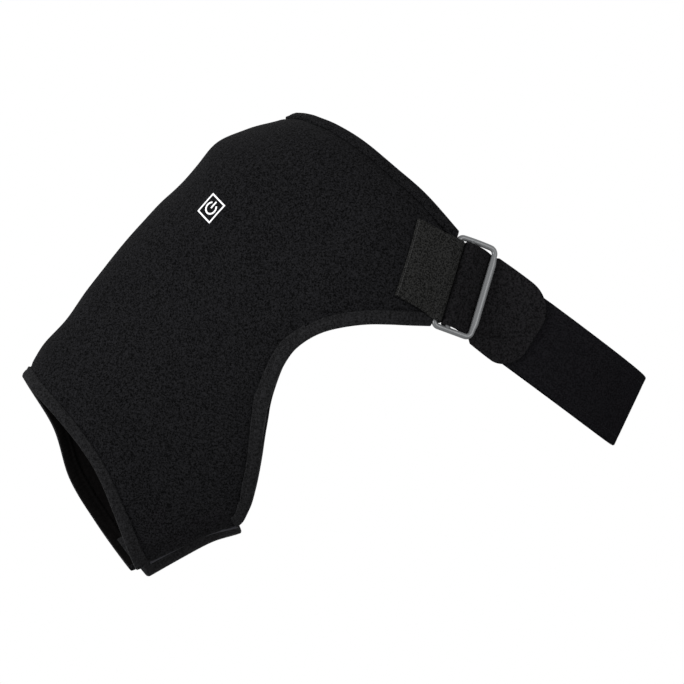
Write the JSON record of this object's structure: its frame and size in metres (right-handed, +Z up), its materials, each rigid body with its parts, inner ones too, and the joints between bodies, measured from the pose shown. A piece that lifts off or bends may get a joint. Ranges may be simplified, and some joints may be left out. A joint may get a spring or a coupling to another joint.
{
  "type": "heated shoulder wrap",
  "caption": "Padded black shoulder wrap with a bound arm sleeve, a raised switch pad, and an elastic chest strap threaded through a wire slide.",
  "frame": {"origin": "on the inner face of the shell, where it sits on the shoulder", "axes": "+Z up as worn, -Y towards the wearer's back, +X from the wrapped shoulder to the other side of the body"},
  "size_m": [0.4884, 0.2064, 0.3632],
  "materials": {
    "plush": "short black loop pile",
    "tape": "smooth knitted tape, sewn",
    "webbing": "fine grey-black webbing",
    "elastic": "smooth black elastic",
    "hook_tape": "grey edge of a hook tape",
    "gunmetal": "dark plated wire",
    "print": "light raised print"
  },
  "bodies": {
    "root": {"wrap_shell": "plush", "switch_pad": "plush", "cuff_binding": "tape", "back_edge_binding": "tape", "front_edge_binding": "tape", "neck_binding": "tape", "arm_closure_strip": "tape", "closure_tape": "hook_tape", "ring_tab": "webbing", "slide_buckle": "gunmetal", "chest_strap": "elastic", "strap_end_tab": "elastic", "switch_frame": "print", "power_ring": "print", "power_bar": "print"}
  },
  "joints": []
}
